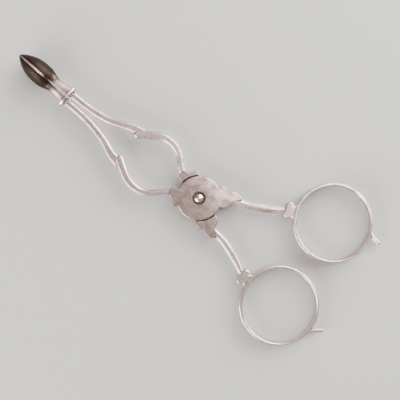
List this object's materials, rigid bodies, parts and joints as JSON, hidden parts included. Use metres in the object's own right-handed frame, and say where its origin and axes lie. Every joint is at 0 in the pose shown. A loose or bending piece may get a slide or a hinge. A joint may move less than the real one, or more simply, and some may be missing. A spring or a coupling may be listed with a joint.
{
  "type": "ice tongs",
  "caption": "Scissor-action ice tongs with hollow bud-shaped bowls that close edge to edge, C-shaped bows, a round lap hinge and finger rings with small spurs.",
  "frame": {"origin": "on the hinge axis, at the hinge's flat back face, which the rivet's spread end is flush with", "axes": "+X from the hinge along the closed jaws to the bowls' tips; +Y to the side of the front half's jaw; +Z out through the rivet's domed head"},
  "size_m": [0.1273, 0.0549, 0.0087],
  "materials": {
    "bowl_silver": "cast silver under a heavy brown-grey tarnish, polished through along the rims",
    "arm_silver": "worn silver with a light pinkish-grey tarnish and rubbed bright bevels",
    "plate_silver": "flat filed silver, mottled by tarnish, with fine rubbing marks round the hinge",
    "ring_silver": "silver worn smooth by handling, darker inside and in the corners",
    "rivet_silver": "hammered silver, domed and rubbed bright, with dirt round its foot"
  },
  "bodies": {
    "front_half": {"front_bowl": "bowl_silver", "front_collar": "arm_silver", "front_jaw_arm": "arm_silver", "front_bow": "arm_silver", "front_hinge_plate": "plate_silver", "front_shank": "arm_silver", "front_ring_block": "ring_silver", "front_finger_ring": "ring_silver", "front_spur": "ring_silver", "pivot_rivet": "rivet_silver"},
    "back_half": {"back_bowl": "bowl_silver", "back_collar": "arm_silver", "back_jaw_arm": "arm_silver", "back_bow": "arm_silver", "back_hinge_plate": "plate_silver", "back_shank": "arm_silver", "back_ring_block": "ring_silver", "back_finger_ring": "ring_silver", "back_spur": "ring_silver"}
  },
  "joints": [
    {"name": "pivot", "type": "hinge", "parent": "front_half", "child": "back_half", "pos_m": [0, 0, 0], "axis": [0, 0, -1], "range_deg": [0, 50]}
  ]
}
